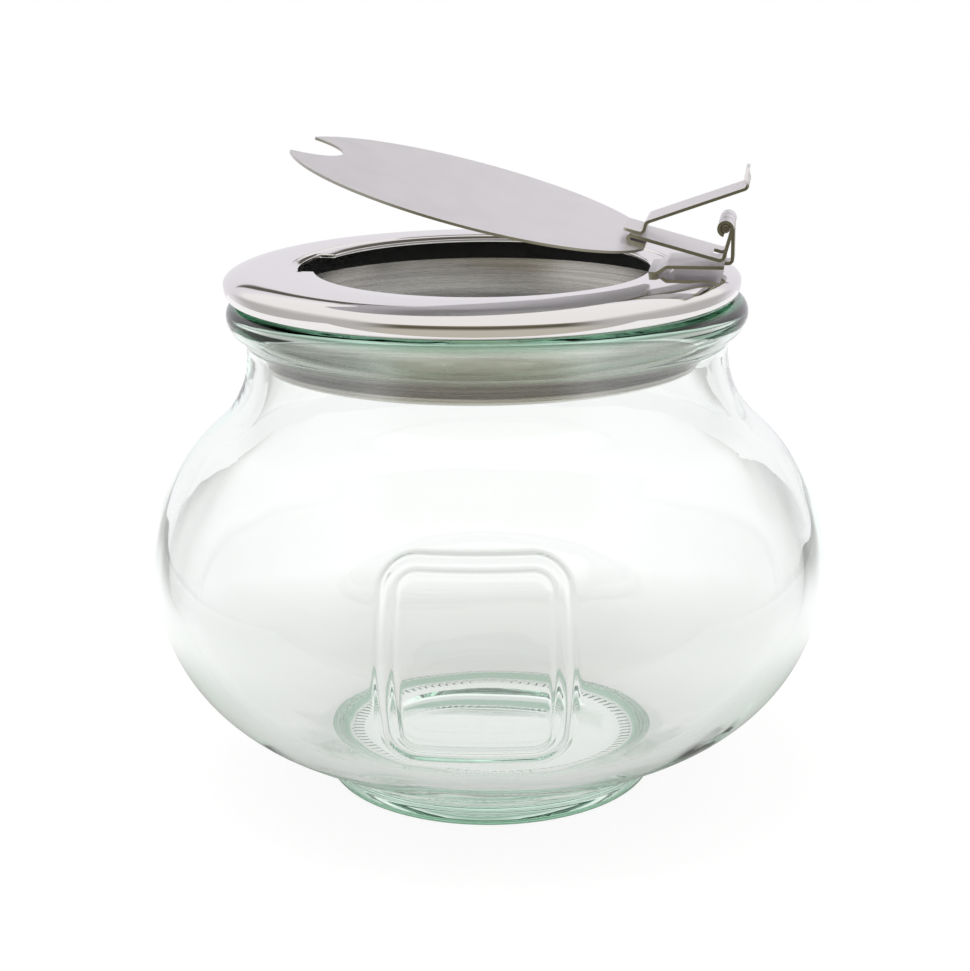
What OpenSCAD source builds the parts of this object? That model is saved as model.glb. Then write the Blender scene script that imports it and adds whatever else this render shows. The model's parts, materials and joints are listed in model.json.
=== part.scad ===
// Round-bellied storage jar of pressed glass with a steel pouring lid:
// a cover ring, a black seal and a plug collar carry a hinged flap with a thumb lever.
// Millimetres, +Z up. The origin is the centre of the face that the foot rests on.

/* [Glass jar] */
// Largest radius of the belly
belly_r = 72.6; // [72:0.1:74]
// Height of the belly's widest circle
belly_z = 48.9; // [47:0.1:50]
// Radius of the arc that the belly follows
belly_arc = 39.5; // [38.5:0.1:40]
// Angle below the widest circle where the belly turns into a straight slope
skirt_angle = 60; // [56:1:64]
// Radius of the foot
foot_r = 36; // [35:0.1:37]
// Radius of the foot's rounded bottom edge
foot_edge = 3; // [2:0.1:4]
// Inner radius of the flat ring that the jar stands on
foot_ring_r = 27; // [24:0.5:30]
// Depth of the hollow under the base
push_up = 2; // [1:0.1:3]
// Outer radius of the neck
neck_r = 51; // [50.8:0.1:51.4]
// Height where the shoulder meets the neck
neck_z = 95.5; // [95:0.1:96]
// Wall thickness of the glass
wall = 3.8; // [3.2:0.1:3.8]
// Height of the inside floor
floor_z = 8.5; // [7:0.1:10]
// Radius of the round corner between the floor and the slope
floor_corner = 16; // [8:1:18]
// Largest radius of the rim bead
rim_r = 55; // [54.8:0.1:55.2]
// Height of the rim bead's widest circle
rim_z = 103.8; // [103.5:0.1:104]
// Height of the flat top of the rim
rim_top = 106.7; // [106.5:0.1:107]

/* [Lid] */
// How far the lid sits off the jar's centre, within its play in the neck
lid_shift = -1; // [-1.8:0.1:0]
// Thickness of the cover ring's sheet
ring_t = 0.7; // [0.6:0.05:0.8]
// Largest radius of the cover ring
ring_r = 54.4; // [54.2:0.1:54.6]
// Height of the cover ring's widest circle
ring_z = 110.4; // [110.3:0.05:110.5]
// Height of the cover ring's round shoulder
shoulder_h = 2.45; // [2.4:0.05:2.5]
// Width of the cover ring's round shoulder
shoulder_w = 6.9; // [6.5:0.1:7.2]
// Radius of the step under the flap's edge
lip_r = 40.5; // [40.4:0.1:41]
// Height of the top of that step
lip_z = 113; // [112.95:0.05:113.1]
// Inner radius of the ledge under the flap
ledge_r = 35.4; // [34.8:0.1:36]
// Width of the spoon cut-out in the ledge
spoon_w = 21; // [16:0.2:22]
// Outer radius of the plug collar
collar_r = 45; // [44.6:0.1:45]
// Height of the plug collar's bottom
collar_bottom = 93.2; // [92:0.1:96]

/* [Hinge and flap] */
// Distance of the hinge pin from the lid's axis
hinge_x = 51.2; // [50.8:0.1:51.4]
// Height of the hinge pin
hinge_z = 122.4; // [122:0.1:122.6]
// Width of the hinge straps
hinge_w = 16; // [14:0.5:17]
// Width of the middle knuckle
middle_w = 5; // [4:0.2:6]
// Radius of the hinge pin
pin_r = 0.95; // [0.9:0.05:1]
// Thickness of the straps
strap_t = 0.7; // [0.6:0.05:0.75]
// Radius of the flap
flap_r = 39; // [38.5:0.1:39.4]
// Offset of the flap's centre from the lid's axis
flap_x = -1.6; // [-1.8:0.1:-1.2]
// Thickness of the flap
flap_t = 0.55; // [0.45:0.05:0.6]
// Radius of the spoon notch in the flap
notch_r = 11.5; // [8:0.5:13]
// Width of the thumb lever
lever_w = 13; // [10:0.5:14]
// Angle that the flap stands open
open_angle = 15.1; // [0:0.1:60]

/* [Hidden] */
$fn = 96;
slip = 0.05;           // gap of running and loose fits
side_gap = 0.3;        // gap between the hinge's knuckles
overcut = 1;           // how far cutting shapes run past the piece they cut

// Jar: centres and tangent points of its arcs
belly_c = belly_r - belly_arc;
shoulder_arc = (pow(neck_r - belly_c, 2) + pow(neck_z - belly_z, 2) - pow(belly_arc, 2))
    / (2 * (belly_arc - neck_r + belly_c));
shoulder_angle = atan2(neck_z - belly_z, neck_r + shoulder_arc - belly_c);
rim_under = 4.5;       // radius of the bead below its widest circle
neck_fillet = 3;       // hollow corner between the bead and the neck
fillet_dx = neck_r + neck_fillet - rim_r + rim_under;
fillet_z = rim_z - sqrt(pow(rim_under + neck_fillet, 2) - pow(fillet_dx, 2));
fillet_angle = atan2(fillet_z - rim_z, fillet_dx);
rim_corner = rim_top - rim_z;
mouth_corner = 1.2;    // rounded inner edge of the rim
foot_fillet = 3;       // hollow corner above the foot

// Jar: where the straight slope meets the foot, and the hollow corner there
slope = 90 - skirt_angle;
slope_r = belly_c + belly_arc * cos(skirt_angle);
slope_z = belly_z - belly_arc * sin(skirt_angle);
foot_fillet_z = slope_z - (slope_r - foot_r - foot_fillet) * tan(slope) - foot_fillet / cos(slope);
push_arc = (pow(foot_ring_r, 2) + pow(push_up, 2)) / (2 * push_up);

// Jar: the inside slope and its round corner at the floor
inner_arc = belly_arc - wall;
inner_slope_r = belly_c + inner_arc * cos(skirt_angle);
inner_slope_z = belly_z - inner_arc * sin(skirt_angle);
floor_meet_r = inner_slope_r - (inner_slope_z - floor_z) / tan(slope);
floor_corner_r = floor_meet_r - floor_corner * tan(slope / 2);

// Lid: levels of the ledge, the flap and the seal
lip_step = 0.35;       // height of the step inside the lip
spoon_stop = 1.8;      // how far the spoon cut-out stops short of the lip
ledge_z = lip_z - lip_step;
shoulder_r = ring_r - shoulder_w;
shoulder_top = ring_z + shoulder_h;
hem_z = 107.35;        // bottom of the cover ring
hem_r = 52.8;          // inner radius of its turned-in hem
hem_w = 1.4;           // how far the skirt above the hem turns in
hem_h = ring_z - hem_z;
skirt_r = ring_r - hem_w;
collar_t = 0.6;        // thickness of the collar's sheet
bead_r = 0.8;          // radius of the collar's rolled bottom edge
flange_r = 48.5;       // outer radius of the collar's flange, held in the seal
flange_z = 107.45;     // underside of that flange
seal_bottom = rim_top + slip;
seal_foot_r = 49.6;    // outer radius of the seal below the hem
seal_lip_t = 0.6;      // lip of the seal inside the collar's top edge
seal_lip_z = 106.9;

// Hinge: knuckles, straps and the flap that they carry, drawn with the flap level
knuckle_r = pin_r + slip + strap_t;
leaf_x = hinge_x + knuckle_r - strap_t / 2;
base_low_x = 35.6;     // inner end of the base strap, on the ledge
joggle_x0 = 37.2;      // start and end of its step up over the lip
joggle_x1 = 39.4;
joggle_z = 1.4;        // height of that step
plate_stop = 1.5;      // how far the base strap's plate stops short of its leg
base_z = ledge_z + strap_t / 2;
weld_x = 46;           // weld pads under the base strap
weld_y = 5;
weld_r = 1.1;
press_grip = 0.01;     // how much the base knuckle grips the pin
flap_gap = 1.1;        // gap between the level flap and the ledge below it
flap_z = ledge_z + flap_gap;
flap_top = flap_z + flap_t;
heel_x = 36.4;         // straight edge of the flap at the hinge
notch_out = 1;         // how far the notch's centre lies outside the flap's edge
hairpin_r = 0.6;       // fold at the end of the hinge arm
hairpin_x = 33.2;
arm_end_x = 36.4;
arm_low_z = flap_top + strap_t / 2;
tongue_z = arm_low_z + 2 * hairpin_r;
slot_x = 50.2;         // end of the slot for the middle knuckle's leg
lever_z = tongue_z + strap_t;
lever_foot_x = 31.1;
riser_x = 35.3;
riser_top = 119;
thumb_x = 53.3;        // where the lever bends up
thumb_z = 131.4;
thumb_tip_x = 52.1;
thumb_tip_z = 135;
bend_r = 0.9;          // centre-line radius of the bends in the straps

// Points on an ellipse about [cx, cz]
function oval(cx, cz, w, h, a0, a1, n) =
    [for (i = [0:n]) let (a = a0 + (a1 - a0) * i / n) [cx + w * cos(a), cz + h * sin(a)]];

// Points on an arc about [cx, cz]
function arc(cx, cz, r, a0, a1, n) = oval(cx, cz, r, r, a0, a1, n);

// Outline of the cover ring from the top of its shoulder to its hem, moved in by d
function ring_side(d) = concat(
    oval(shoulder_r, ring_z, shoulder_w - d, shoulder_h - d, 86, 0, 14),
    oval(skirt_r, ring_z, hem_w - d, hem_h - d, -9, -90, 9));

// Direction from one point to the next
function heading(p, q) = (q - p) / norm(q - p);

// A path with each inner corner rounded to radius r
function rounded(path, r, n) = let (last = len(path) - 1) [
    path[0],
    for (i = [1:last - 1]) let (
        a = heading(path[i], path[i - 1]),
        b = heading(path[i], path[i + 1]),
        half = acos(a * b) / 2,
        mid = path[i] + heading([0, 0], a + b) * r / sin(half),
        p = path[i] + a * r / tan(half),
        q = path[i] + b * r / tan(half),
        a0 = atan2(p[1] - mid[1], p[0] - mid[0]),
        a1 = atan2(q[1] - mid[1], q[0] - mid[0]),
        turn = (a1 - a0 + 540) % 360 - 180
    ) each arc(mid[0], mid[1], r, a0, a0 + turn, n),
    path[last]
];

// A path moved sideways by d
function beside(path, d) = let (last = len(path) - 1) [
    for (i = [0:last]) let (
        a = heading(path[max(i - 1, 0)], path[max(i, 1)]),
        b = heading(path[min(i, last - 1)], path[min(i + 1, last)]),
        m = heading([0, 0], a + b)
    ) path[i] + [-m[1], m[0]] * d / (m * a)
];

// A strap of sheet, t thick and w wide, bent along a path in the XZ plane
module strap(path, t, w) {
    left = beside(path, t / 2);
    right = beside(path, -t / 2);
    rotate([90, 0, 0])
        linear_extrude(w, center = true)
            polygon(concat(left, [for (i = [len(right) - 1:-1:0]) right[i]]));
}

// A block between two corners
module block(low, high) {
    translate(low)
        cube(high - low);
}

// A cylinder along Y at the hinge, between two stations
module along_pin(r, y0, y1) {
    translate([hinge_x, y0, hinge_z])
        rotate([-90, 0, 0])
            cylinder(h = y1 - y0, r = r);
}

// Puts a lid piece where the lid sits on the jar
module on_jar() {
    translate([lid_shift, 0, 0])
        children();
}

// Turns a flap piece open about the hinge pin
module opened() {
    on_jar()
        translate([hinge_x, 0, hinge_z])
            rotate([0, open_angle, 0])
                translate([-hinge_x, 0, -hinge_z])
                    children();
}

// Pressed glass jar: foot, belly, shoulder, neck and rim bead, with an even wall
module glass_jar() {
    outside = concat(
        [for (i = [0:8]) let (r = foot_ring_r * i / 8)
            [r, push_up - push_arc + sqrt(pow(push_arc, 2) - r * r)]],
        arc(foot_r - foot_edge, foot_edge, foot_edge, -90, 0, 6),
        arc(foot_r + foot_fillet, foot_fillet_z, foot_fillet, 180, 90 + slope, 4),
        arc(belly_c, belly_z, belly_arc, -skirt_angle, shoulder_angle, 36),
        arc(neck_r + shoulder_arc, neck_z, shoulder_arc, shoulder_angle + 180, 180, 12),
        arc(neck_r + neck_fillet, fillet_z, neck_fillet, 180, fillet_angle + 180, 5),
        arc(rim_r - rim_under, rim_z, rim_under, fillet_angle, 0, 6),
        arc(rim_r - rim_corner, rim_z, rim_corner, 0, 90, 8));
    inside = concat(
        arc(neck_r - wall + mouth_corner, rim_top - mouth_corner, mouth_corner, 90, 180, 4),
        arc(neck_r + shoulder_arc, neck_z, shoulder_arc + wall, 180, shoulder_angle + 180, 12),
        arc(belly_c, belly_z, inner_arc, shoulder_angle, -skirt_angle, 36),
        arc(floor_corner_r, floor_z + floor_corner, floor_corner, -90 + slope, -90, 6),
        [[0, floor_z]]);
    color([0.74, 0.88, 0.8, 0.45])
        rotate_extrude()
            polygon(concat(outside, inside));
}

// Soft black ring that the cover clips over; its groove holds the collar's flange
module seal_ring() {
    under = lip_z - ring_t - slip;
    lip_out = collar_r - collar_t - slip;
    lip_in = lip_out - seal_lip_t;
    under_in = under - (lip_z - shoulder_top) * (lip_in - lip_r) / (shoulder_r - lip_r);
    hem_top = hem_z + ring_t + slip;
    color([0.08, 0.08, 0.09])
        on_jar()
            rotate_extrude()
                polygon(concat(
                    [[lip_in, under_in]],
                    ring_side(ring_t + slip),
                    [[seal_foot_r, hem_top], [seal_foot_r, seal_bottom],
                     [collar_r + slip, seal_bottom], [collar_r + slip, flange_z - slip],
                     [flange_r + slip, flange_z - slip],
                     [flange_r + slip, flange_z + collar_t + slip],
                     [lip_out, flange_z + collar_t + slip], [lip_out, seal_lip_z],
                     [lip_in, seal_lip_z]]));
}

// Polished cover ring with a ledge for the flap, a round shoulder and a turned-in hem
module cover_ring() {
    inner_side = ring_side(ring_t);
    spoon_end = lip_r - spoon_stop;
    color([0.8, 0.79, 0.79])
        on_jar()
            difference() {
                rotate_extrude()
                    polygon(concat(
                        [[ledge_r, ledge_z], [lip_r - lip_step, ledge_z], [lip_r, lip_z]],
                        ring_side(0),
                        [[hem_r, hem_z], [hem_r, hem_z + ring_t]],
                        [for (i = [len(inner_side) - 1:-1:0]) inner_side[i]],
                        [[lip_r, lip_z - ring_t], [lip_r - lip_step, ledge_z - ring_t],
                         [ledge_r, ledge_z - ring_t]]));
                intersection() {
                    block([-spoon_end - overcut, -spoon_w / 2, ledge_z - ring_t - overcut],
                        [-ledge_r / 2, spoon_w / 2, ledge_z + overcut]);
                    cylinder(h = lip_z + overcut, r = spoon_end);
                }
            }
}

// Brushed plug collar: a flange held in the seal, a wall in the neck, a rolled bottom edge
module collar() {
    bead_x = collar_r - bead_r;
    color([0.72, 0.71, 0.69])
        on_jar()
            rotate_extrude() {
                translate([collar_r - collar_t, collar_bottom + bead_r])
                    square([collar_t, flange_z + collar_t - collar_bottom - bead_r]);
                translate([collar_r - collar_t, flange_z])
                    square([flange_r - collar_r + collar_t, collar_t]);
                translate([bead_x, collar_bottom + bead_r])
                    circle(bead_r);
            }
}

// Base strap welded to the cover ring, stepped over the lip, with the middle knuckle
module hinge_base() {
    high_z = base_z + joggle_z;
    leg = rounded([[weld_x, high_z], [leaf_x, high_z], [leaf_x, hinge_z]], bend_r, 5);
    plate = [[base_low_x, base_z], [joggle_x0, base_z], [joggle_x1, high_z],
        [leaf_x - plate_stop, high_z]];
    pad_z = lip_z - (lip_z - shoulder_top) * (weld_x - lip_r) / (shoulder_r - lip_r);
    color([0.76, 0.75, 0.73])
        on_jar() {
            difference() {
                union() {
                    strap(rounded(plate, bend_r, 4), strap_t, hinge_w);
                    strap(leg, strap_t, middle_w);
                    along_pin(knuckle_r, -middle_w / 2, middle_w / 2);
                }
                along_pin(pin_r - press_grip, -hinge_w, hinge_w);
            }
            for (y = [-weld_y, weld_y])
                translate([weld_x, y, pad_z])
                    cylinder(h = high_z - pad_z, r = weld_r);
        }
}

// Hinge pin, gripped by the middle knuckle, with bevelled ends
module hinge_pin() {
    bevel = 0.25;
    body = hinge_w - 2 * bevel;
    color([0.55, 0.52, 0.46])
        on_jar()
            translate([hinge_x, -hinge_w / 2, hinge_z])
                rotate([-90, 0, 0]) {
                    cylinder(h = bevel, r1 = pin_r - bevel, r2 = pin_r);
                    translate([0, 0, bevel])
                        cylinder(h = body, r = pin_r);
                    translate([0, 0, bevel + body])
                        cylinder(h = bevel, r1 = pin_r, r2 = pin_r - bevel);
                }
}

// Hinge arm: two outer knuckles, a tongue, and a folded end welded to the flap
module hinge_arm() {
    inner_y = middle_w / 2 + side_gap;
    fold = arc(hairpin_x, arm_low_z + hairpin_r, hairpin_r, 270, 90, 10);
    tongue = rounded([[hairpin_x, tongue_z], [leaf_x, tongue_z], [leaf_x, hinge_z]], bend_r, 5);
    path = concat([[arm_end_x, arm_low_z]], fold, [for (i = [1:len(tongue) - 1]) tongue[i]]);
    color([0.78, 0.77, 0.76])
        opened()
            difference() {
                union() {
                    strap(path, strap_t, hinge_w);
                    along_pin(knuckle_r, -hinge_w / 2, hinge_w / 2);
                }
                block([slot_x, -inner_y, arm_low_z],
                    [hinge_x + 2 * knuckle_r, inner_y, hinge_z + 2 * knuckle_r]);
                block([hinge_x - 2 * knuckle_r, -inner_y, hinge_z - 2 * knuckle_r],
                    [hinge_x, inner_y, hinge_z + 2 * knuckle_r]);
                along_pin(pin_r + slip, -hinge_w, hinge_w);
            }
}

// Round flap with a spoon notch at its tip and a straight heel at the hinge
module flap() {
    notch_x = flap_x - flap_r - notch_out;
    color([0.82, 0.81, 0.82])
        opened()
            translate([0, 0, flap_z])
                linear_extrude(flap_t)
                    difference() {
                        translate([flap_x, 0])
                            circle(flap_r);
                        translate([notch_x, 0])
                            circle(notch_r);
                        translate([heel_x, -flap_r])
                            square([flap_r, 2 * flap_r]);
                    }
}

// Thumb lever: a foot on the arm, a riser, a slope and a turned-up end
module thumb_lever() {
    path = [[lever_foot_x, lever_z], [riser_x, lever_z], [riser_x, riser_top],
        [thumb_x, thumb_z], [thumb_tip_x, thumb_tip_z]];
    color([0.78, 0.77, 0.76])
        opened()
            strap(rounded(path, bend_r, 6), strap_t, lever_w);
}

glass_jar();
seal_ring();
cover_ring();
collar();
hinge_base();
hinge_pin();
hinge_arm();
flap();
thumb_lever();
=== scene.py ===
# %% [markdown]
# # A round glass jar with a pouring lid
#
# This lesson dresses a CAD part: a pressed glass jar with a steel lid, whose flap opens on a small hinge.
# The CAD model already says where each piece sits and how it moves. Here every piece gets the surface that
# the eye meets: clear glass with a green tint, polished, brushed and satin steel, and black rubber.
# The frame comes first, because every new surface is drawn around it, in the same place and size.

# %% Load the frame
import json

import bmesh
import bpy
import numpy as np
from mathutils import Matrix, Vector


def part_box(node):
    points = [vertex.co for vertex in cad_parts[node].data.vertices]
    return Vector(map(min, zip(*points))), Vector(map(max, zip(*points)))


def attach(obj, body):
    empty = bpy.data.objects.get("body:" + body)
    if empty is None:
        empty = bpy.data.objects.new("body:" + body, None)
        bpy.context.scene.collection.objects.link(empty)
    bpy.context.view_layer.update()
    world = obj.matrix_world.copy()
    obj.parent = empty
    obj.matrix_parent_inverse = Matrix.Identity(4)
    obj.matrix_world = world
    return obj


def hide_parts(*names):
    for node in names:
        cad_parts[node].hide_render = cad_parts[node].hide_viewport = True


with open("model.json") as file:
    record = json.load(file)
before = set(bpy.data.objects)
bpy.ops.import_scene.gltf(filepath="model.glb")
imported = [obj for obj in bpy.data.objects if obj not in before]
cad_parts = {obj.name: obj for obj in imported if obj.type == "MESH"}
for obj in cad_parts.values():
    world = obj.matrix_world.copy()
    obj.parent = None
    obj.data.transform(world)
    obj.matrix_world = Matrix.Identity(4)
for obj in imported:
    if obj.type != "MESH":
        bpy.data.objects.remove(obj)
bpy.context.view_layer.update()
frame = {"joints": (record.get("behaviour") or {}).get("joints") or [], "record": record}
MM = 0.001
record = frame["record"]

# %% [markdown]
# ## Sizes that the frame gives
#
# The lengths below are in millimetres. The jar's largest radius, its height, the lid's place and the hinge
# pin come from the frame, so the surfaces follow the CAD model if it is packed again with other sizes.

# %% Sizes from the frame
jar_high = np.array(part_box("glass_jar")[1]) / MM
ring_low, ring_high = (np.array(corner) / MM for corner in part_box("cover_ring"))
hinge = next(joint for joint in frame["joints"] if joint["name"] == "flap_hinge")
pin_x, _, pin_z = np.array(hinge["pos_m"]) / MM
lid_x = (ring_low[0] + ring_high[0]) / 2
print(f"jar {jar_high[0]:.1f} in radius, lid at x {lid_x:.2f}, hinge pin at x {pin_x:.2f}, z {pin_z:.2f}")

# %% [markdown]
# ## Camera
#
# A photograph fixes the camera: how far it stands, how high, and how it tilts decide the ellipses that the
# lid's circles make, and a hand-held camera also leans a little. The lens follows from the focal length in
# pixels and Blender's 36 mm sensor, which spans the longer side of the picture. The frame is square to the
# hinge, so the camera stands to one side of it.

# %% Camera
LID_TURN = np.radians(8.6)
CAMERA_REACH = 450
CAMERA_SIDE = -0.75
CAMERA_HEIGHT = 190.8
CAMERA_PITCH = np.radians(15.67)
CAMERA_ROLL = np.radians(-0.5)
FOCAL_PX = 2156
PICTURE_PX = 971
SENSOR = 36

right = np.array([np.cos(LID_TURN), np.sin(LID_TURN), 0])
ahead = np.array([-np.sin(LID_TURN), np.cos(LID_TURN), 0])
up = np.array([0, 0, 1])

camera = bpy.data.objects.new("camera", bpy.data.cameras.new("camera"))
bpy.context.scene.collection.objects.link(camera)
camera.location = (right * CAMERA_SIDE - ahead * CAMERA_REACH + up * CAMERA_HEIGHT) * MM
turns = [(LID_TURN, "Z"), (np.pi / 2 - CAMERA_PITCH, "X"), (CAMERA_ROLL, "Z")]
aim = Matrix.Identity(3)
for angle, axis in turns:
    aim = aim @ Matrix.Rotation(angle, 3, axis)
camera.rotation_euler = aim.to_euler()
camera.data.sensor_width = SENSOR
camera.data.lens = FOCAL_PX / PICTURE_PX * SENSOR
bpy.context.scene.camera = camera
print(f"camera at {np.round(np.array(camera.location), 3)} m with a {camera.data.lens:.1f} mm lens")

# %% [markdown]
# ## Curves and skins
#
# Nearly every piece here is turned or bent from sheet, so two kinds of surface are enough. A turned piece
# is a profile carried round an axis, and a strap is a path carried across its width. Both are a grid of
# points worked out as whole arrays, and a skin puts one face on every cell of that grid. Points that fall
# together, as at a pole or where a turn closes, are welded, so the surface has no seam.


# %% Curves
def oval(cx, cz, width, height, start, end, count):
    """Points on an ellipse: the centre plus (width cos a, height sin a), for even steps of a in degrees."""
    a = np.radians(np.linspace(start, end, count + 1))
    return np.stack([cx + width * np.cos(a), cz + height * np.sin(a)], axis=1)


def arc(cx, cz, radius, start, end, count):
    """Points on a circle, which is an ellipse of equal width and height."""
    return oval(cx, cz, radius, radius, start, end, count)


def soften(corners, radius, count=5, closed=False):
    """A path with round corners: each corner gives way to an arc that touches both of its sides."""
    corners = np.asarray(corners, float)
    radii = np.broadcast_to(radius, len(corners)).astype(float)
    back = np.roll(corners, 1, axis=0) - corners
    on = np.roll(corners, -1, axis=0) - corners
    back /= np.linalg.norm(back, axis=1, keepdims=True)
    on /= np.linalg.norm(on, axis=1, keepdims=True)
    half = np.arccos(np.clip((back * on).sum(axis=1), -1, 1)) / 2
    inward = (back + on) / np.linalg.norm(back + on, axis=1, keepdims=True)
    middle = corners + inward * (radii / np.sin(half))[:, None]
    reach = (radii / np.tan(half))[:, None]
    first = corners + back * reach - middle
    last = corners + on * reach - middle
    start = np.arctan2(first[:, 1], first[:, 0])
    turn = (np.arctan2(last[:, 1], last[:, 0]) - start + np.pi) % (2 * np.pi) - np.pi
    angle = start[:, None] + turn[:, None] * np.linspace(0, 1, count + 1)
    arcs = middle[:, None] + radii[:, None, None] * np.stack([np.cos(angle), np.sin(angle)], axis=2)
    if closed:
        return arcs.reshape(-1, 2)
    return np.concatenate([corners[:1], arcs[1:-1].reshape(-1, 2), corners[-1:]])


def round_angles(step, fine_at=None, fine_half=0, split=1):
    """Angles once round in even steps of so many degrees, each step split finer near one angle."""
    even = np.arange(0, 360, step)
    if fine_at is not None:
        near = even[np.abs((even - fine_at + 180) % 360 - 180) < fine_half]
        even = np.sort(np.append(even, (near[:, None] + step * np.arange(1, split) / split).ravel()))
    return np.radians(np.append(even, 360))


print(f"a quarter of a circle of radius 2 ends at {arc(0, 0, 2, 0, 90, 6)[-1].round(3)}")


# %% Skins
def skin(name, grid, keep=None):
    """A mesh over a grid of points in mm: one face on each kept cell, with double points welded."""
    rows, columns = grid.shape[:2]
    index = np.arange(rows * columns).reshape(rows, columns)
    cells = np.stack([index[:-1, :-1], index[:-1, 1:], index[1:, 1:], index[1:, :-1]], axis=2)
    faces = cells.reshape(-1, 4) if keep is None else cells[keep]
    mesh = bpy.data.meshes.new(name)
    mesh.from_pydata((grid.reshape(-1, 3) * MM).tolist(), [], faces.tolist())
    shape = bmesh.new()
    shape.from_mesh(mesh)
    bmesh.ops.remove_doubles(shape, verts=shape.verts, dist=1e-4 * MM)
    bmesh.ops.delete(shape, geom=[v for v in shape.verts if not v.link_faces], context="VERTS")
    shape.to_mesh(mesh)
    shape.free()
    mesh.shade_smooth()
    piece = bpy.data.objects.new(name, mesh)
    bpy.context.scene.collection.objects.link(piece)
    return piece


def turned(name, profile, angles, centre=0.0):
    """A closed profile of (radius, height) carried round an upright axis: (c + r cos a, r sin a, z)."""
    r, z = np.vstack([profile, profile[:1]]).T
    area = (r[:-1] * z[1:] - r[1:] * z[:-1]).sum()
    if area < 0:
        r, z = r[::-1], z[::-1]
    return skin(name, around(r[:, None], z[:, None], angles, centre))


def around(r, z, angles, centre=0.0):
    """The grid of a turned piece, whose radius and height may change from angle to angle."""
    x = centre + r * np.cos(angles)
    return np.stack(np.broadcast_arrays(x, r * np.sin(angles), z), axis=2)


def thicken(piece, thickness, edge):
    """Gives a one-sided sheet its thickness, and breaks its sharp edges as tumbling does on real strip."""
    wall = piece.modifiers.new("wall", "SOLIDIFY")
    wall.thickness = thickness * MM
    wall.offset = 0
    rounding = piece.modifiers.new("edge", "BEVEL")
    rounding.width = edge * MM
    rounding.segments = 2
    rounding.limit_method = "ANGLE"
    rounding.angle_limit = np.radians(50)
    rounding.harden_normals = True
    return piece


def fit(piece, node):
    """Lets a piece stand for a CAD node: it takes the node's body and the finish of its material slot."""
    slot = next(row["material_slot"] for row in record["subparts"] if row["node"] == node)
    body = next(name for name, nodes in record["behaviour"]["bodies"].items() if node in nodes)
    piece.data.materials.append(FINISHES[slot])
    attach(piece, body)
    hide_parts(node)
    print(f"{piece.name}: {len(piece.data.polygons)} faces, on {body}, finished as {slot}")
    return piece


# %% [markdown]
# ## Finishes
#
# A finish is a small graph of shader nodes. Writing sums as Python keeps it readable: the class below holds
# one socket, and adding or multiplying two of them adds a Math node to the graph. Any other node comes from
# its one method. Patterns read Object coordinates in metres, so a scale of 1000 means one wave per millimetre.


# %% A socket that does sums
class Wire:
    """A socket of a node tree on which Python's operators work: each operation adds one Math node."""

    def __init__(self, tree, socket=None):
        self.tree = tree
        self.socket = socket

    def node(self, kind, settings=None, sockets=None, out=0):
        """Adds a node: first its settings, then the values or links of its sockets. Gives one output."""
        made = self.tree.nodes.new(kind)
        for key, value in (settings or {}).items():
            if key == "stops":
                self.set_stops(made.color_ramp, value)
            else:
                setattr(made, key, value)
        for key, value in (sockets or {}).items():
            if isinstance(value, Wire):
                self.tree.links.new(value.socket, made.inputs[key])
            else:
                made.inputs[key].default_value = value
        return Wire(self.tree, made.outputs[out] if len(made.outputs) else None)

    def set_stops(self, ramp, stops):
        """Fills a colour ramp from pairs of place and colour."""
        while len(ramp.elements) < len(stops):
            ramp.elements.new(0.5)
        for element, (place, colour) in zip(ramp.elements, stops):
            element.position = place
            element.color = (*colour, 1)

    def maths(self, operation, *values):
        return self.node("ShaderNodeMath", {"operation": operation}, dict(enumerate(values)))

    def __add__(self, other):
        return self.maths("ADD", self, other)

    def __sub__(self, other):
        return self.maths("SUBTRACT", self, other)

    def __rsub__(self, other):
        return self.maths("SUBTRACT", other, self)

    def __mul__(self, other):
        return self.maths("MULTIPLY", self, other)

    __radd__ = __add__
    __rmul__ = __mul__

    def between(self, low, high):
        """A smooth step: 0 below low, 1 above high."""
        return self.node("ShaderNodeMapRange", {"interpolation_type": "SMOOTHSTEP"},
                         {"Value": self, "From Min": low, "From Max": high})

    def into(self, shader, name):
        """Links this socket to a socket of the shader."""
        self.tree.links.new(self.socket, shader.inputs[name])


def new_finish(name, colour, **constants):
    """A material, its Principled shader with constants set on it, and the wire of Object coordinates."""
    material = bpy.data.materials.new(name)
    material.use_nodes = True
    shader = material.node_tree.nodes["Principled BSDF"]
    shader.inputs["Base Color"].default_value = (*colour, 1)
    for key, value in constants.items():
        shader.inputs[key.replace("_", " ")].default_value = value
    place = Wire(material.node_tree).node("ShaderNodeTexCoord", out="Object")
    return material, shader, place


def grain(place, scale, detail=2.0):
    """Noise from 0 to 1 whose waves per metre are given for X, Y and Z, so that it can be drawn out."""
    stretched = place.node("ShaderNodeMapping", sockets={"Vector": place, "Scale": scale})
    return place.node("ShaderNodeTexNoise", sockets={"Vector": stretched, "Scale": 1.0, "Detail": detail})


def blend(mask, low, high):
    """A colour that goes from one to another as a mask goes from 0 to 1; sockets 6 and 7 take colours."""
    low, high = (end if isinstance(end, Wire) else (*end, 1) for end in (low, high))
    return mask.node("ShaderNodeMix", {"data_type": "RGBA"}, {0: mask, 6: low, 7: high}, 2)


def bump(height, depth):
    """Bends the surface normal as if the surface rose by a height of so many millimetres."""
    return height.node("ShaderNodeBump", sockets={"Height": height, "Distance": depth * MM})


FINISHES = {}
print("finishes are made by name of the record's material slots")
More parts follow.
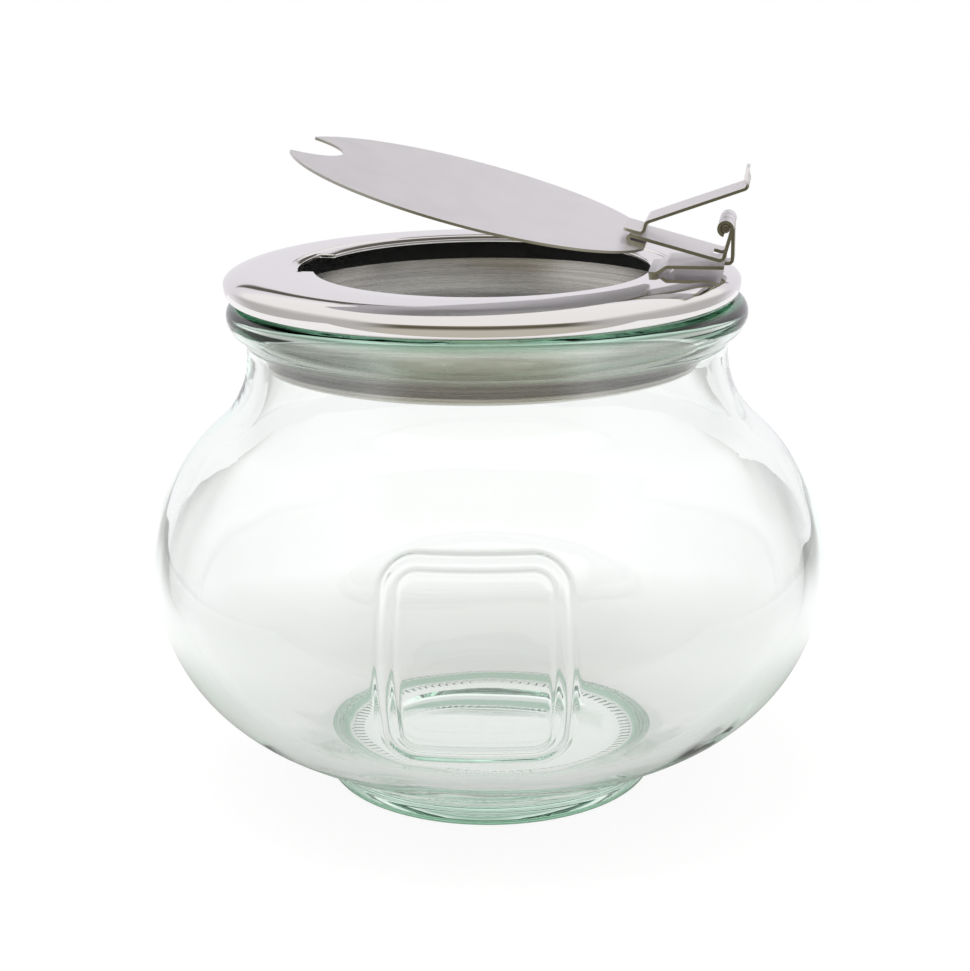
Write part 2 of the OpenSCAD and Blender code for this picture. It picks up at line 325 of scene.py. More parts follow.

# %% [markdown]
# ## Glass
#
# Jar glass is clear in a thin wall and green where the eye looks along it, at the rim and in the foot. Most
# of that colour isn't on the surface: light loses red on its way through, and a volume that absorbs gives
# the same change from clear to green. Light that turns many times inside a thick edge gets greener than the
# volume alone shows, so the rim and the low edge of the foot get painted shade: a green tint in their surface
# colour that stands in for that light. A faint unevenness, the mark of a mould, makes reflections waver.

# %% Jar glass
GLASS_TINT = (0.35, 0.92, 0.66)
GLASS_DENSITY = 4
RIM_PAINTED_SHADE = (0.93, 0.98, 0.95)
RIM_TOP_PAINTED_SHADE = (0.42, 0.76, 0.56)
FOOT_EDGE_PAINTED_SHADE = (0.24, 0.48, 0.32)

glass, shader, place = new_finish("jar_glass", (1, 1, 1), Roughness=0.0, IOR=1.5, Transmission_Weight=1.0)
height = place.node("ShaderNodeSeparateXYZ", sockets={0: place}, out=2)
# painted shade: the rim, its top and the low edge of the foot are tinted green in their surface colour,
# standing in for light that turns inside thick glass
sides = blend(height.between(0.096, 0.103), (1, 1, 1), RIM_PAINTED_SHADE)
level = place.node("ShaderNodeVectorMath", {"operation": "MULTIPLY"}, {0: place, 1: (1, 1, 0)})
radius = place.node("ShaderNodeVectorMath", {"operation": "LENGTH"}, {0: level}, "Value")
rim = blend(height.between(0.1048, 0.1062), sides, RIM_TOP_PAINTED_SHADE)
low = radius.between(0.0325, 0.0335) * (1 - height.between(0.0018, 0.0028))
blend(low, rim, FOOT_EDGE_PAINTED_SHADE).into(shader, "Base Color")
volume = place.node("ShaderNodeVolumeAbsorption",
                    sockets={"Color": (*GLASS_TINT, 1), "Density": GLASS_DENSITY})
place.tree.links.new(volume.socket, place.tree.nodes["Material Output"].inputs["Volume"])
bump(grain(place, (45, 45, 30), 1.0), 0.35).into(shader, "Normal")
FINISHES["jar_glass"] = glass
loss = [round(GLASS_DENSITY * (1 - c), 1) for c in GLASS_TINT]
print("glass that absorbs", loss, "per metre of red, green, blue")

# %% [markdown]
# ## Steel
#
# The lid shows four finishes of one metal. The pressed cover is polished, so it mirrors the room, with the
# slight waver of sheet. The collar is brushed round its axis: noise drawn out along the turn gives lines in
# its roughness and its normal. The flap and the straps are satin, with an even fine grain and soft clouds.

# %% Polished cover
polished, shader, place = new_finish("ring_polished", (0.80, 0.78, 0.78), Metallic=1.0)
clouds = grain(place, (90, 90, 90), 3.0)
(0.02 + 0.03 * clouds).into(shader, "Roughness")
bump(grain(place, (70, 70, 70), 1.0), 0.05).into(shader, "Normal")
FINISHES["ring_polished"] = polished
print("polished cover: roughness 0.02 to 0.05")

# %% Brushed collar
brushed, shader, place = new_finish("collar_brushed", (0.6, 0.58, 0.54), Metallic=1.0, Anisotropic=0.75,
                                    Anisotropic_Rotation=0.25)
lines = grain(place, (40, 40, 5200), 4.0)
streaks = grain(place, (25, 25, 1300), 2.0)
height = place.node("ShaderNodeSeparateXYZ", sockets={0: place}, out=2)
upper = blend(streaks.between(0.3, 0.7), (0.74, 0.72, 0.68), (0.97, 0.95, 0.92))
shaded_lower_wall = blend(streaks.between(0.3, 0.7), (0.34, 0.33, 0.33), (0.44, 0.43, 0.43))
# painted shade: the wall just above the rolled edge is painted darker than the rest, standing in for the dark
# room it mirrors
painted_shade_band = height.between(0.0944, 0.0950) * (1 - height.between(0.0970, 0.1010))
blend(painted_shade_band, upper, shaded_lower_wall).into(shader, "Base Color")
(0.16 + 0.22 * lines).into(shader, "Roughness")
bump(lines, 0.02).into(shader, "Normal")
FINISHES["collar_brushed"] = brushed
print("brushed collar: lines drawn out along the turn")


# %% Satin flap and straps
def satin(name, colour, edge, rough):
    """Satin steel with fine grain and soft clouds. Undersides and cut edges are given painted shade."""
    material, shader, place = new_finish(name, colour, Metallic=1.0)
    clouds = grain(place, (160, 160, 160), 3.0)
    shade = tuple(0.93 * c for c in colour)
    normal = place.node("ShaderNodeTexCoord", out="Normal")
    facing = place.node("ShaderNodeSeparateXYZ", sockets={0: normal}, out=2)
    # painted shade: undersides and cut edges are painted darker, standing in for the dark room that they mirror
    under = tuple(0.6 * c for c in colour)
    cut = blend(facing.between(-0.7, -0.3), under, edge)
    blend(facing.between(0.0, 0.4), cut, blend(clouds, shade, colour)).into(shader, "Base Color")
    (rough - 0.05 + 0.1 * clouds).into(shader, "Roughness")
    bump(grain(place, (3500, 3500, 3500), 2.0), 0.006).into(shader, "Normal")
    FINISHES[name] = material
    print(f"{name}: satin steel of roughness {rough}")


# the third colour of each finish is the painted shade of its cut edges
satin("flap_satin", (0.85, 0.83, 0.86), (0.46, 0.45, 0.36), 0.36)
satin("hinge_steel", (0.82, 0.80, 0.81), (0.46, 0.45, 0.35), 0.30)
satin("pin_steel", (0.30, 0.28, 0.22), (0.26, 0.24, 0.19), 0.38)

# %% [markdown]
# ## Rubber
#
# The seal is matt black. Even black rubber isn't one flat colour: handling leaves a faint bloom, so the
# colour and the roughness drift a little.

# %% Black seal
rubber, shader, place = new_finish("seal_black", (0.012, 0.012, 0.012), Specular_IOR_Level=0.3)
bloom = grain(place, (300, 300, 300), 3.0)
blend(bloom, (0.008, 0.008, 0.009), (0.02, 0.02, 0.02)).into(shader, "Base Color")
(0.55 + 0.2 * bloom).into(shader, "Roughness")
bump(grain(place, (1500, 1500, 1500)), 0.02).into(shader, "Normal")
FINISHES["seal_black"] = rubber
print("black seal: roughness 0.55 to 0.75")

# %% [markdown]
# ## The jar's outline
#
# A jar is turned, so its outline is all that has to be drawn. It follows arcs that touch: the belly is one
# arc, the shoulder another that leaves the neck upright, and the rim a small bead. The wall inside keeps an
# even distance from them. Tangent arcs matter on glass, because any kink in the outline shows as a dark line.

# %% Outline of the glass
BELLY_R = jar_high[0]
RIM_TOP = jar_high[2]
BELLY_Z = 48.9
BELLY_ARC = 39.5
SKIRT = 60
FOOT_R = 36
FOOT_EDGE = 3
FOOT_FILLET = 3
FOOT_RING = 27
RIBS_FROM = 28
RIBS_TO = 32.6
PUSH_UP = 2
NECK_R = 51
NECK_Z = 95.5
WALL = 3.8
FLOOR_Z = 8.5
FLOOR_CORNER = 16
RIM_R = 55
RIM_Z = 103.8
RIM_UNDER = 4.5
NECK_FILLET = 3
MOUTH_CORNER = 1.2
LABEL_REACH = 36

belly_c = BELLY_R - BELLY_ARC
shoulder = ((NECK_R - belly_c) ** 2 + (NECK_Z - BELLY_Z) ** 2 - BELLY_ARC ** 2) / (2 * (BELLY_R - NECK_R))
shoulder_c = NECK_R + shoulder
shoulder_turn = np.degrees(np.arctan2(NECK_Z - BELLY_Z, shoulder_c - belly_c))
fillet_c = NECK_R + NECK_FILLET
rim_c = RIM_R - RIM_UNDER
fillet_z = RIM_Z - np.sqrt((RIM_UNDER + NECK_FILLET) ** 2 - (fillet_c - rim_c) ** 2)
fillet_turn = np.degrees(np.arctan2(fillet_z - RIM_Z, fillet_c - rim_c))
rim_corner = RIM_TOP - RIM_Z
slope = np.radians(90 - SKIRT)
skirt_r = belly_c + BELLY_ARC * np.cos(np.radians(SKIRT))
skirt_z = BELLY_Z - BELLY_ARC * np.sin(np.radians(SKIRT))
foot_fillet_z = (skirt_z - (skirt_r - FOOT_R - FOOT_FILLET) * np.tan(slope)
                 - FOOT_FILLET / np.cos(slope))
inner = BELLY_ARC - WALL
floor_meet = (belly_c + inner * np.cos(np.radians(SKIRT))
              - (BELLY_Z - inner * np.sin(np.radians(SKIRT)) - FLOOR_Z) / np.tan(slope))
floor_c = floor_meet - FLOOR_CORNER * np.tan(slope / 2)

hollow_r = np.linspace(0, FOOT_RING, 13)
outside = np.concatenate([
    np.stack([hollow_r, PUSH_UP * (1 - (hollow_r / FOOT_RING) ** 2)], axis=1),
    np.stack([np.linspace(RIBS_FROM, RIBS_TO, 12), np.zeros(12)], axis=1),
    arc(FOOT_R - FOOT_EDGE, FOOT_EDGE, FOOT_EDGE, -90, 0, 8),
    arc(FOOT_R + FOOT_FILLET, foot_fillet_z, FOOT_FILLET, 180, 90 + np.degrees(slope), 6),
    arc(belly_c, BELLY_Z, BELLY_ARC, -SKIRT, -LABEL_REACH - 1, 9),
    arc(belly_c, BELLY_Z, BELLY_ARC, -LABEL_REACH, LABEL_REACH, 100),
    arc(belly_c, BELLY_Z, BELLY_ARC, LABEL_REACH + 1, shoulder_turn, 5),
    arc(shoulder_c, NECK_Z, shoulder, shoulder_turn + 180, 180, 14)[1:],
    arc(fillet_c, fillet_z, NECK_FILLET, 180, fillet_turn + 180, 6),
    arc(rim_c, RIM_Z, RIM_UNDER, fillet_turn, 0, 8)[1:],
    arc(RIM_R - rim_corner, RIM_Z, rim_corner, 0, 90, 8)[1:],
])
inside = np.concatenate([
    arc(NECK_R - WALL + MOUTH_CORNER, RIM_TOP - MOUTH_CORNER, MOUTH_CORNER, 90, 180, 5),
    arc(shoulder_c, NECK_Z, shoulder + WALL, 180, shoulder_turn + 180, 14),
    arc(belly_c, BELLY_Z, inner, shoulder_turn, -SKIRT, 40)[1:],
    arc(floor_c, FLOOR_Z + FLOOR_CORNER, FLOOR_CORNER, -90 + np.degrees(slope), -90, 10),
    np.stack([np.linspace(floor_c, 0, 8)[1:], np.full(7, FLOOR_Z)], axis=1),
])
outline = np.concatenate([outside, inside])
print(f"outline of {len(outside)} points outside and {len(inside)} inside")

# %% [markdown]
# ## Relief on the glass
#
# A mould leaves more on a jar than its outline. A plain raised frame for a label stands on the front, short
# ribs under the foot keep it from sticking to the belt while it is hot, and the inside, which no mould
# touches, is a little wavy. Each of these moves the outline's points along their normals, so they are real
# shape that bends light, and a distance to a rounded rectangle is all that the frame needs.

# %% Skin of the jar
RIBS = 96
RIB_DEPTH = 0.35
LABEL_TURN = -83.75
LABEL_HALF = np.array([18.5, 21.5])
LABEL_CORNER = 7
RIDGE_H = 0.6
RIDGE_W = 0.7
INNER_RIDGE_H = 0.35
INNER_RIDGE_W = 0.55
INNER_RIDGE_IN = 3.2
WAVE = 0.09
STEP = 1.25

angles = round_angles(STEP, LABEL_TURN, 21, 4)
along = np.gradient(outline, axis=0)
along /= np.linalg.norm(along, axis=1, keepdims=True)
normal = np.stack([along[:, 1], -along[:, 0]], axis=1)
is_outside = (np.arange(len(outline)) < len(outside))[:, None]
r, z = outline[:, :1], outline[:, 1:]

# the frame: ridges along a rounded rectangle, where u runs round the belly and v up its arc
u = BELLY_R * np.radians((np.degrees(angles) - LABEL_TURN + 180) % 360 - 180)
v = BELLY_ARC * np.arctan2(z - BELLY_Z, r - belly_c)
side = np.abs(u) - LABEL_HALF[0] + LABEL_CORNER
top = np.abs(v) - LABEL_HALF[1] + LABEL_CORNER
edge = np.hypot(np.maximum(side, 0), np.maximum(top, 0)) + np.minimum(np.maximum(side, top), 0) - LABEL_CORNER
ridges = (RIDGE_H * np.exp(-(edge / RIDGE_W) ** 2)
          + INNER_RIDGE_H * np.exp(-((edge + INNER_RIDGE_IN) / INNER_RIDGE_W) ** 2))
relief = np.where(is_outside & (r > belly_c) & (z > FOOT_EDGE), ridges, 0)

# the inside: a few slow waves, faded out at the mouth and on the floor
waves = (np.sin(3 * angles + 0.05 * z) + 0.7 * np.sin(5 * angles - 1.1 - 0.08 * z)
         + 0.5 * np.sin(8 * angles + 0.6 + 0.11 * z))
fade = np.clip((r - 30) / 20, 0, 1) * np.clip((NECK_Z - z) / 20, 0, 1)
relief = np.where(is_outside, relief, WAVE * waves * fade)

# the ribs: small ridges under the foot, drawn as grooves between them so that the foot still rests at 0
spacing = 2 * np.pi / RIBS
from_rib = np.abs((angles + spacing / 2) % spacing - spacing / 2)
groove = np.clip(from_rib / np.radians(STEP), 0, 1)
on_ring = np.clip((r - 29.2) / 0.5, 0, 1) * np.clip((32.5 - r) / 0.4, 0, 1) * is_outside * (z < 0.01)

jar_grid = around(r + normal[:, :1] * relief, z + normal[:, 1:] * relief + RIB_DEPTH * groove * on_ring, angles)
fit(skin("jar", jar_grid), "glass_jar")

# %% [markdown]
# ## Turned pieces of the lid
#
# The cover ring is pressed from one sheet: a ledge for the flap, a small step, a gentle slope and a round
# shoulder that turns in under itself. Its inner edge is cut back at one place for a spoon, so there the
# radius of the ledge depends on the angle. The seal and the collar below it are plain turned shapes.

# %% Cover ring
RING_T = 0.7
RING_R = ring_high[0] - lid_x
RING_Z = 110.4
SHOULDER_W = 6.9
SHOULDER_H = 2.45
SHOULDER_FROM = 86
LIP_R = 40.5
LIP_Z = ring_high[2]
LIP_STEP = 0.35
LEDGE_R = 35.4
SPOON_R = LIP_R - 1.8
SPOON_HALF = 10.5
HEM_Z = ring_low[2]
HEM_R = 52.8
HEM_W = 1.4
HEM_EDGE = 0.2
CUT_EDGE = 0.3

ledge_z = LIP_Z - LIP_STEP
shoulder_r = RING_R - SHOULDER_W
shoulder_top = RING_Z + SHOULDER_H
step_in = LIP_R - LIP_STEP


def ring_side(inset, count):
    """The ring's outline from its shoulder to its hem: one quarter of an ellipse over another, moved in."""
    over = oval(shoulder_r, RING_Z, SHOULDER_W - inset, SHOULDER_H - inset, SHOULDER_FROM, 0, count)
    under = oval(RING_R - HEM_W, RING_Z, HEM_W - inset, RING_Z - HEM_Z - inset, 0, -90, count)
    return np.concatenate([over, under[1:]])


sheet_top = soften([[LEDGE_R - 1, ledge_z], [step_in, ledge_z], [LIP_R, LIP_Z],
                    ring_side(0, 24)[0]], [1, 0.3, 0.3, 1])[1:-1]
cover = np.concatenate([
    arc(LEDGE_R + CUT_EDGE, ledge_z - CUT_EDGE, CUT_EDGE, 180, 90, 4),
    sheet_top,
    ring_side(0, 24),
    arc(HEM_R + HEM_EDGE, HEM_Z + HEM_EDGE, HEM_EDGE, 270, 180, 4)[1:],
    arc(HEM_R + HEM_EDGE, HEM_Z + RING_T - HEM_EDGE, HEM_EDGE, 180, 90, 4),
    ring_side(RING_T, 14)[-2::-1],
    [[LIP_R, LIP_Z - RING_T], [step_in, ledge_z - RING_T]],
    arc(LEDGE_R + CUT_EDGE, ledge_z - RING_T + CUT_EDGE, CUT_EDGE, 270, 180, 4),
])[::-1]
cover = np.vstack([cover, cover[:1]])
angles = round_angles(STEP, 180, 19, 4)
from_spoon = np.abs(angles - np.pi)
cut_r = np.clip(SPOON_HALF / np.maximum(np.sin(np.minimum(from_spoon, np.pi / 2)), 1e-3), LEDGE_R, SPOON_R)
r, z = cover[:, :1], cover[:, 1:]
r = np.where(r < step_in, step_in - (step_in - r) * (step_in - cut_r) / (step_in - LEDGE_R), r)
fit(skin("cover_sheet", around(r, z, angles, lid_x)), "cover_ring")

# %% Seal
LIP_T = 0.6
LIP_LOW = 106.9
SEAL_FOOT = 49.6
SEAL_LOW = RIM_TOP + 0.05
FLANGE_R = 48.5
FLANGE_Z = 107.45
COLLAR_T = 0.6
COLLAR_R = 45
SLIP = 0.05

lip_out = COLLAR_R - COLLAR_T - SLIP
lip_in = lip_out - LIP_T
fall = (LIP_Z - shoulder_top) * (lip_in - LIP_R) / (shoulder_r - LIP_R)
hem_top = HEM_Z + RING_T + SLIP
seal = soften(np.concatenate([
    [[lip_in, LIP_Z - RING_T - SLIP - fall]],
    ring_side(RING_T + SLIP, 8),
    [[SEAL_FOOT, hem_top], [SEAL_FOOT, SEAL_LOW],
     [COLLAR_R + SLIP, SEAL_LOW], [COLLAR_R + SLIP, FLANGE_Z - SLIP], [FLANGE_R + SLIP, FLANGE_Z - SLIP],
     [FLANGE_R + SLIP, FLANGE_Z + COLLAR_T + SLIP], [lip_out, FLANGE_Z + COLLAR_T + SLIP],
     [lip_out, LIP_LOW], [lip_in, LIP_LOW]],
]), 0.08, 2, closed=True)
fit(turned("seal", seal, round_angles(2.5), lid_x), "seal_ring")

# %% Collar
BEAD = 0.8
FLANGE_BEND = 0.25
FLANGE_FILLET = 0.2
COLLAR_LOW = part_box("collar")[0][2] / MM

inner_r = COLLAR_R - COLLAR_T
bead_turn = np.degrees(np.arccos((inner_r - COLLAR_R + BEAD) / BEAD))
flange_top = FLANGE_Z + COLLAR_T
collar = np.concatenate([
    arc(COLLAR_R - BEAD, COLLAR_LOW + BEAD, BEAD, 0, bead_turn - 360, 24),
    arc(inner_r + FLANGE_BEND, flange_top - FLANGE_BEND, FLANGE_BEND, 180, 90, 4),
    arc(FLANGE_R - COLLAR_T / 2, FLANGE_Z + COLLAR_T / 2, COLLAR_T / 2, 90, -90, 6),
    [[COLLAR_R + FLANGE_FILLET, FLANGE_Z], [COLLAR_R, FLANGE_Z - FLANGE_FILLET]],
])
fit(turned("collar_sleeve", collar, round_angles(1.25), lid_x), "collar")

# %% [markdown]
# ## Hinge and flap
#
# The hinge is bent from strip. A strap is a path in the XZ plane carried across Y, and its knuckles are the
# same path curled round the pin, with the gap that a rolled hinge shows. The strips start as a single layer:
# Solidify gives them their thickness and Bevel takes the edge off. The flap's straps are drawn level and
# turned open about the pin, as the flap stands at rest.

# %% Straps
OPEN = np.radians(15.1)
STRAP_T = 0.7
EDGE = 0.1
PIN_R = 0.95
CURL = PIN_R + SLIP + STRAP_T / 2
HINGE_HALF = 8
BEND = 0.9


def opened(grid):
    """Turns points about the hinge pin: x' = x cos a + z sin a, z' = z cos a - x sin a, measured from it."""
    x, y, z = np.moveaxis(grid - [pin_x, 0, pin_z], -1, 0)
    turned_x = x * np.cos(OPEN) + z * np.sin(OPEN)
    turned_z = z * np.cos(OPEN) - x * np.sin(OPEN)
    return np.stack([turned_x, y, turned_z], axis=-1) + [pin_x, 0, pin_z]


def strap_grid(path, stations, corners=(0.01, 0.01)):
    """A path in XZ carried across Y. At each end, a quarter circle narrows it to round its corners."""
    path = np.asarray(path, float)
    run = np.concatenate([[0], np.cumsum(np.linalg.norm(np.diff(path, axis=0), axis=1))])
    shares = np.array([0, 0.08, 0.3, 0.6, 1])
    run_all = np.unique(np.concatenate([run, shares * corners[0], run[-1] - shares * corners[1]]).round(5))
    x, z = (np.interp(run_all, run, path[:, k])[:, None] for k in (0, 1))
    narrow = sum(c - np.sqrt(np.maximum(c ** 2 - (c - np.clip(far, 0, c)) ** 2, 0))
                 for c, far in zip(corners, (run_all, run[-1] - run_all)))
    y = np.array(stations, float)[None, :]
    y = np.where(np.abs(y) == np.abs(y).max(), y - np.sign(y) * narrow[:, None], y)
    return np.stack(np.broadcast_arrays(x + lid_x, y, z), axis=2)


def curled(path):
    """Adds a knuckle to a path that ends beside the pin: three quarters of a turn over the top of it."""
    return np.concatenate([path, arc(pin_x - lid_x, pin_z, CURL, 0, 272, 30)[1:]])


print(f"knuckles curl at a radius of {CURL:.2f} mm round the pin")

# %% Base strap
MIDDLE_HALF = 2.5
leaf_x = pin_x - lid_x + CURL
base_z = ledge_z + STRAP_T / 2
high_z = base_z + 1.4
PLATE_END = leaf_x - 1.5
plate = soften([[35.6, base_z], [37.2, base_z], [39.4, high_z], [leaf_x, high_z], [leaf_x, pin_z]], BEND)
cut = np.searchsorted(plate[:, 0], PLATE_END)
plate = curled(np.insert(plate, cut, [PLATE_END, high_z], axis=0))
grid = strap_grid(plate, [-HINGE_HALF, -MIDDLE_HALF, MIDDLE_HALF, HINGE_HALF], (1.0, 0.01))
past_plate = np.arange(len(grid) - 1) >= np.flatnonzero(np.isclose(grid[:, 0, 0], PLATE_END + lid_x))[0]
keep = np.stack([~past_plate, np.ones(len(grid) - 1, bool), ~past_plate], axis=1)
base = thicken(skin("base_strap", grid, keep), STRAP_T, EDGE)
fit(base, "hinge_base")

# %% Hinge arm
ARM_GAP = MIDDLE_HALF + 0.3
FLAP_T = 0.55
FOLD = 0.6
FOLD_X = 33.2
SLOT_X = 50.2
flap_z = ledge_z + 1.1 + FLAP_T / 2
low_z = flap_z + (FLAP_T + STRAP_T) / 2
tongue_z = low_z + 2 * FOLD
fold = arc(FOLD_X, low_z + FOLD, FOLD, 270, 90, 12)
tongue = soften([[FOLD_X, tongue_z], [leaf_x, tongue_z], [leaf_x, pin_z]], BEND)[1:]
path = curled(np.concatenate([[[36.4, low_z]], fold, [[SLOT_X, tongue_z]], tongue]))
grid = strap_grid(path, [-HINGE_HALF, -ARM_GAP, ARM_GAP, HINGE_HALF])
at_slot = np.flatnonzero(np.isclose(grid[:, 0, 0], SLOT_X + lid_x) & np.isclose(grid[:, 0, 2], tongue_z))[0]
solid = np.arange(len(grid) - 1) < at_slot
keep = np.stack([np.ones(len(grid) - 1, bool), solid, np.ones(len(grid) - 1, bool)], axis=1)
arm = thicken(skin("arm_strap", opened(grid), keep), STRAP_T, EDGE)
fit(arm, "hinge_arm")

# %% Thumb lever
LEVER_HALF = 6.5
lever_z = tongue_z + STRAP_T
path = soften([[31.1, lever_z], [35.3, lever_z], [35.3, 119], [53.3, 131.4], [52.2, 133.2], [52.1, 135]],
              [1, BEND, BEND, BEND, 2, 1], 6)
grid = strap_grid(path, [-LEVER_HALF, LEVER_HALF], (0.8, 4))
lever = thicken(skin("lever_strap", opened(grid)), STRAP_T, EDGE)
fit(lever, "thumb_lever")

# %% [markdown]
# The pin is a turned piece too, only its axis lies along Y, so its profile is turned about Z and then laid
# down by swapping coordinates. Its ends carry the small bevel of a cropped wire.

# %% Pin
BEVEL = 0.25
pin_profile = soften([[0.001, -HINGE_HALF], [PIN_R - 0.05, -HINGE_HALF], [PIN_R - 0.05, HINGE_HALF],
                      [0.001, HINGE_HALF]], [0.0005, BEVEL, BEVEL, 0.0005], 4)
grid = around(pin_profile[:, :1], pin_profile[:, 1:], round_angles(10))
grid = np.stack([grid[..., 1] + pin_x, grid[..., 2], grid[..., 0] + pin_z], axis=2)
fit(skin("pin", grid), "hinge_pin")

# %% [markdown]
# The flap is a disc with a straight heel and a round bite at its tip for a spoon. Half of it is a ruled
# surface between two curves that meet at the tip: the rim on one side, and on the other the centre line
# and then the bite. The other half is its mirror image.

# %% Flap
FLAP_R = 39
FLAP_X = -1.6
HEEL_X = 36.4
NOTCH_R = 11.5
NOTCH_X = FLAP_X - FLAP_R - 1
TIP_R = 0.6

heel_turn = np.degrees(np.arccos((HEEL_X - FLAP_X) / FLAP_R))
# the tip is a small circle that touches the rim from inside and the bite from outside
far = FLAP_X - NOTCH_X
rim_to_tip = FLAP_R - TIP_R
tip_x = (rim_to_tip ** 2 - (NOTCH_R + TIP_R) ** 2 + far ** 2) / (2 * far)
tip_y = np.sqrt(rim_to_tip ** 2 - tip_x ** 2)
tip = np.array([FLAP_X - tip_x, tip_y])
rim_turn = np.degrees(np.arctan2(tip_y, -tip_x))
bite_turn = np.degrees(np.arctan2(tip_y, tip[0] - NOTCH_X))
nose_turn = (rim_turn + bite_turn + 180) / 2
rim = np.concatenate([
    [[HEEL_X, FLAP_R * np.sin(np.radians(heel_turn))]],
    arc(FLAP_X, 0, FLAP_R, heel_turn, rim_turn, 70)[1:],
    arc(*tip, TIP_R, rim_turn, nose_turn, 6)[1:],
])
bite = np.concatenate([
    arc(NOTCH_X, 0, NOTCH_R, 0, bite_turn, 24),
    arc(*tip, TIP_R, bite_turn + 180, nose_turn, 6)[1:],
])
centre_line = np.stack([np.linspace(HEEL_X, bite[0, 0], len(rim) - len(bite) + 1)[:-1],
                        np.zeros(len(rim) - len(bite))], axis=1)
inner_curve = np.concatenate([centre_line, bite])
t = np.linspace(0, 1, 9)[None, :, None]
half = inner_curve[:, None] * (1 - t) + rim[:, None] * t
half = np.concatenate([half, np.full(half.shape[:2] + (1,), flap_z)], axis=2)
other = half[:, ::-1] * [1, -1, 1]
sheet = np.concatenate([other, half], axis=1) + [lid_x, 0, 0]
seam = np.ones((len(rim) - 1, sheet.shape[1] - 1), bool)
seam[:, half.shape[1] - 1] = False
flap = thicken(skin("flap_plate", opened(sheet), seam), FLAP_T, EDGE)
fit(flap, "flap")

# %% [markdown]
# ## Stage and light
#
# The jar stands on a white table in a white room, lit from above by one large soft light. The table and the
# world are plain white where the camera looks, and the table keeps part of its own shading, so that the
# jar's soft shadow stays. What metal and glass show gives them their form. Through the glass the table has a
# painted shadow, a little grey near the jar, and painted shade far to the sides. In metal the table has
# painted shade, dim close to the jar. The room has a pale wall behind with one dark bar across it, a white
# ceiling, grey sides, and a dim brown floor and wall beyond the table's near edge.

# %% Table
SHADOW_SHARE = 0.14
WHITE = 1.06
TABLE_HALF = 300
TABLE_NEAR = 130
TABLE_FAR = 450

table = bpy.data.materials.new("table")
table.use_nodes = True
tree = table.node_tree
tree.nodes.remove(tree.nodes["Principled BSDF"])
wire = Wire(tree)
path_kind = wire.node("ShaderNodeLightPath").socket.node
seen = wire.maths("MAXIMUM", Wire(tree, path_kind.outputs["Is Camera Ray"]),
                  Wire(tree, path_kind.outputs["Is Glossy Ray"]))
through = Wire(tree, path_kind.outputs["Is Transmission Ray"])
share = wire.maths("MAXIMUM", seen * (1 - SHADOW_SHARE), through)
spot = wire.node("ShaderNodeTexCoord", out="Object")
reach = wire.node("ShaderNodeVectorMath", {"operation": "LENGTH"}, {0: spot}, "Value")
side = wire.maths("ABSOLUTE", wire.node("ShaderNodeVectorMath", {"operation": "DOT_PRODUCT"},
                                        {0: spot, 1: tuple(right)}, "Value"))
# painted shadow, seen only through the glass: grey near the jar and darkest in a ring round the foot
shade = wire.node("ShaderNodeValToRGB", {"stops": [
    (0.14, (0.77, 0.78, 0.76)),
    (0.17, (0.60, 0.60, 0.59)),
    (0.20, (0.64, 0.64, 0.63)),
    (0.30, (0.70, 0.71, 0.69)),
    (0.50, (0.80, 0.81, 0.79)),
    (0.75, (1.00, 1.00, 1.00)),
]}, {0: 5 * reach})
# painted shade, seen only through the glass: the table is darker far to the sides
shade = blend(side.between(0.10, 0.22), shade, (0.30, 0.31, 0.29))
# painted shade, seen only in metal: the table is dim close to the jar
mirrored = blend(reach.between(0.08, 0.125), (0.30, 0.32, 0.29), (1, 1, 1))
plain = blend(Wire(tree, path_kind.outputs["Is Glossy Ray"]), (1, 1, 1), mirrored)
matt = wire.node("ShaderNodeBsdfDiffuse", sockets={"Color": (0.9, 0.9, 0.9, 1)})
white = wire.node("ShaderNodeEmission", sockets={"Color": blend(through, plain, shade), "Strength": WHITE})
mixed = wire.node("ShaderNodeMixShader", sockets={0: share, 1: matt, 2: white})
tree.links.new(mixed.socket, tree.nodes["Material Output"].inputs["Surface"])

sideways = np.array([TABLE_HALF, -TABLE_HALF])[:, None, None] * right
forwards = np.array([-TABLE_NEAR, TABLE_FAR])[None, :, None] * ahead
floor = skin("table", sideways + forwards)
floor.data.materials.append(table)
print("a white table", 2 * TABLE_HALF, "mm wide that ends", TABLE_NEAR, "mm in front of the jar")

# %% Room
world = bpy.data.worlds.new("room")
bpy.context.scene.world = world
world.use_nodes = True
tree = world.node_tree
wire = Wire(tree)
look = wire.node("ShaderNodeTexCoord", out="Generated")


def towards(direction):
    """How far the ray points along a direction, from -1 to 1."""
    return look.node("ShaderNodeVectorMath", {"operation": "DOT_PRODUCT"},
                     {0: look, 1: tuple(direction)}, "Value")


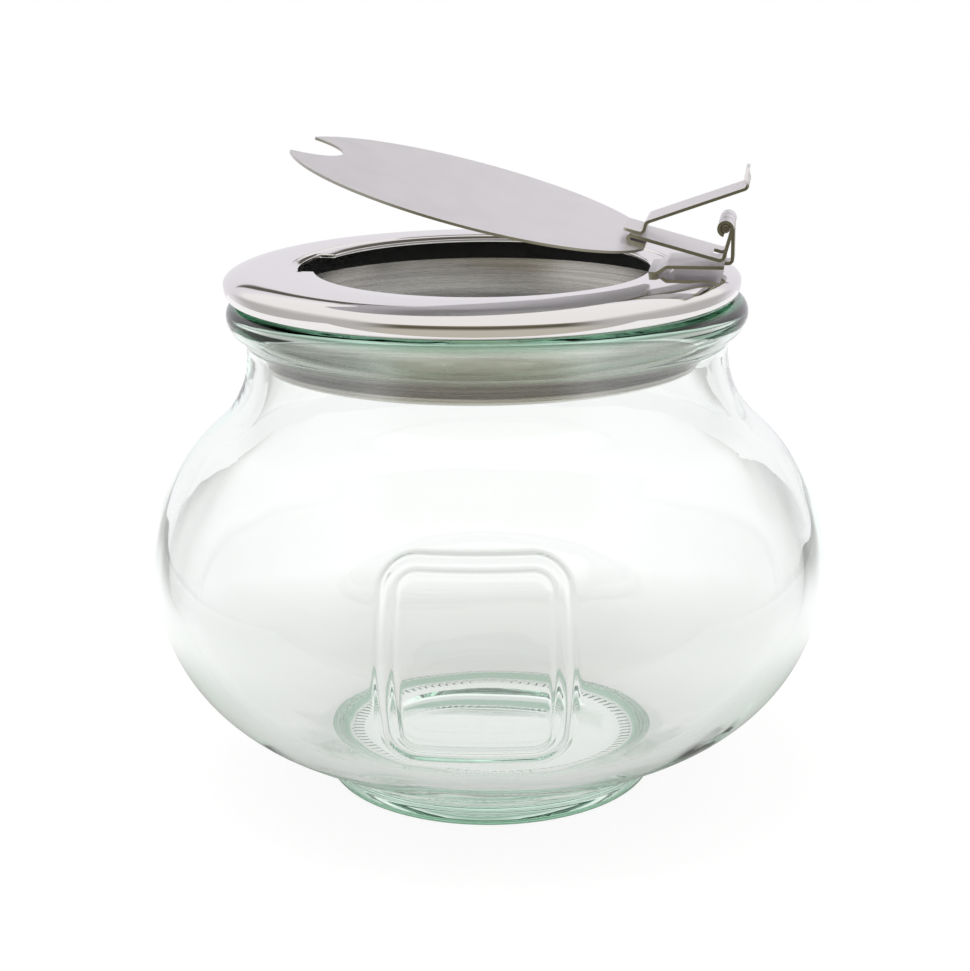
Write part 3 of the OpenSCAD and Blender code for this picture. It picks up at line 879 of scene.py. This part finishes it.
above = wire.maths("MAXIMUM", towards(up), 0.0)
swing = wire.maths("ARCTAN2", above, towards(ahead)) * (1 / np.pi)
bands = wire.node("ShaderNodeValToRGB", {"stops": [
    (0.000, (0.86, 0.84, 0.88)),
    (0.120, (0.84, 0.82, 0.86)),
    (0.150, (1.00, 0.99, 0.98)),
    (0.840, (1.00, 0.98, 0.95)),
    (0.880, (0.36, 0.33, 0.26)),
    (0.960, (0.20, 0.18, 0.13)),
    (1.000, (0.20, 0.18, 0.13)),
]}, {0: swing})
sidewards = wire.maths("ABSOLUTE", towards(right))
off_bar = (wire.maths("ABSOLUTE", swing - 0.1) + 0.075 * sidewards).between(0.020, 0.030)
bands = blend(off_bar, (0.12, 0.11, 0.09), bands)
down = towards(-up)
ground = blend(down.between(0.26, 0.42), (0.12, 0.115, 0.08), (0.60, 0.57, 0.49))
in_front = 1 - towards(ahead).between(-0.3, 0.1)
bands = blend(down.between(0.01, 0.04) * in_front, bands, ground)
aside = sidewards.between(0.55, 0.85)
sides = blend(towards(up).between(0.1, 0.6), (0.55, 0.54, 0.53), (0.68, 0.67, 0.66))
room = blend(aside, bands, sides)
path_kind = wire.node("ShaderNodeLightPath").socket.node
behind = towards(ahead).between(0.55, 0.92)
looked_at = wire.maths("MAXIMUM", Wire(tree, path_kind.outputs["Is Camera Ray"]),
                       behind * Wire(tree, path_kind.outputs["Is Transmission Ray"]))
blend(looked_at, room, (1, 1, 1)).into(tree.nodes["Background"], "Color")
print("a white room with a bright ceiling and darker gaps")

# %% Lamp
LAMP_SIZE = 0.7
LAMP_WATTS = 5

lamp = bpy.data.objects.new("overhead", bpy.data.lights.new("overhead", "AREA"))
bpy.context.scene.collection.objects.link(lamp)
lamp.data.size = LAMP_SIZE
lamp.data.energy = LAMP_WATTS
lamp.visible_glossy = False
lamp.visible_transmission = False
lamp.location = (-0.15, -0.2, 1.1)
lamp.rotation_euler = (-0.18, -0.13, 0)
bpy.context.scene.view_settings.view_transform = "Standard"

# light is thrown to and fro many times inside a thick rim, which looks black if it is given up too soon
paths = bpy.context.scene.cycles
paths.max_bounces = 40
paths.glossy_bounces = 24
paths.transmission_bounces = 40
print(f"a lamp of {lamp.data.energy} W over the jar")
